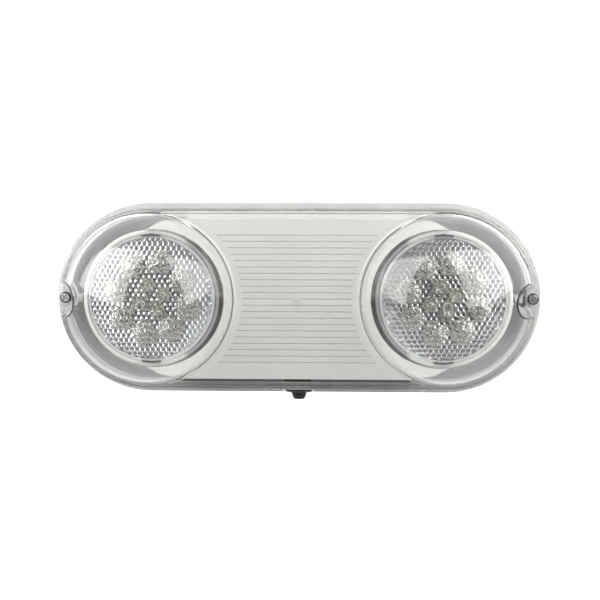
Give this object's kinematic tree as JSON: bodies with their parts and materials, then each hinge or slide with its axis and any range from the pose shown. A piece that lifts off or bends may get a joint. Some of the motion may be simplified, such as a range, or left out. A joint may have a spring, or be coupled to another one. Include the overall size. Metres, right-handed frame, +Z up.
{
  "type": "twin head emergency light",
  "caption": "Sealed wall emergency light: round-ended housing under a clear cover with two domes, ribbed plate and pan-and-tilt LED heads.",
  "frame": {"origin": "centre of the flat back face, between the two junction box screw holes", "axes": "+X to the right along the light, +Z up, -Y out of the wall towards the room"},
  "size_m": [0.34, 0.1152, 0.1411],
  "materials": {
    "housing_plastic": "fine satin grain",
    "clear_plastic": "clear and polished",
    "gasket_rubber": "matte",
    "boot_rubber": "satin",
    "screw_steel": "zinc plated",
    "pin_black": "blackened",
    "insert_brass": "knurled",
    "plate_plastic": "satin",
    "shell_plastic": "satin",
    "lens_plastic": "clear with a prismatic back",
    "reflector_metallised": "metallised to a mirror",
    "led_board_white": "white solder mask",
    "led_phosphor": "yellow phosphor",
    "pilot_lens": "clear epoxy",
    "black_plastic": "fine texture",
    "cell_metal": "bright plated can",
    "battery_sleeve": "shrunk film",
    "circuit_board": "green solder mask",
    "core_steel": "varnished laminations",
    "coil_tape": "yellow tape",
    "capacitor_blue": "shrunk sleeve",
    "relay_blue": "moulded",
    "fuse_glass": "clear",
    "terminal_green": "moulded",
    "wire_red": "insulation",
    "wire_white": "insulation",
    "wire_black": "insulation"
  },
  "bodies": {
    "root": {"housing": "housing_plastic", "cover_gasket": "gasket_rubber", "screw_inserts": "insert_brass", "chassis_plate": "plate_plastic", "pilot_led": "pilot_lens", "pilot_led_clip": "black_plastic", "switch_body": "black_plastic", "switch_bushing": "screw_steel", "switch_washer": "screw_steel", "switch_nut": "screw_steel", "boot_base": "boot_rubber", "conduit_plug": "housing_plastic", "conduit_seal": "gasket_rubber", "battery_cells": "cell_metal", "battery_sleeve": "battery_sleeve", "battery_strap": "screw_steel", "battery_screws": "screw_steel", "charger_board": "circuit_board", "board_screws": "screw_steel", "transformer_core": "core_steel", "transformer_coil": "coil_tape", "capacitors": "capacitor_blue", "relay": "relay_blue", "fuse": "fuse_glass", "fuse_clips": "screw_steel", "terminal_block": "terminal_green", "battery_wires": "wire_red", "switch_wires": "wire_white", "pilot_wires": "wire_white", "left_head_wires": "wire_black", "right_head_wires": "wire_black"},
    "cover": {"cover": "clear_plastic", "cover_screws": "screw_steel", "cover_screw_seals": "gasket_rubber"},
    "left_gimbal": {"left_ring": "plate_plastic", "left_tilt_pins": "pin_black"},
    "left_head": {"left_pan_pivots": "black_plastic", "left_shell": "shell_plastic", "left_lens": "lens_plastic", "left_reflector": "reflector_metallised", "left_led_board": "led_board_white", "left_leds": "led_phosphor"},
    "right_gimbal": {"right_ring": "plate_plastic", "right_tilt_pins": "pin_black"},
    "right_head": {"right_pan_pivots": "black_plastic", "right_shell": "shell_plastic", "right_lens": "lens_plastic", "right_reflector": "reflector_metallised", "right_led_board": "led_board_white", "right_leds": "led_phosphor"},
    "test_button": {"boot_stem": "boot_rubber", "switch_plunger": "screw_steel"}
  },
  "joints": [
    {"name": "left_tilt", "type": "hinge", "parent": "root", "child": "left_gimbal", "pos_m": [-0.1025, -0.052, 0], "axis": [1, 0, 0], "range_deg": [-22, 22]},
    {"name": "left_pan", "type": "hinge", "parent": "left_gimbal", "child": "left_head", "pos_m": [-0.1025, -0.052, 0], "axis": [0, 0, 1], "range_deg": [-22, 22]},
    {"name": "right_tilt", "type": "hinge", "parent": "root", "child": "right_gimbal", "pos_m": [0.1025, -0.052, 0], "axis": [1, 0, 0], "range_deg": [-22, 22]},
    {"name": "right_pan", "type": "hinge", "parent": "right_gimbal", "child": "right_head", "pos_m": [0.1025, -0.052, 0], "axis": [0, 0, 1], "range_deg": [-22, 22]},
    {"name": "cover_lift", "type": "slide", "parent": "root", "child": "cover", "axis": [0, -1, 0], "range_m": [0, 0.12]},
    {"name": "test_press", "type": "slide", "parent": "root", "child": "test_button", "axis": [0, 0, 1], "range_m": [0, 0.0015], "stiffness_N_per_m": 900, "springref_m": -0.001}
  ]
}
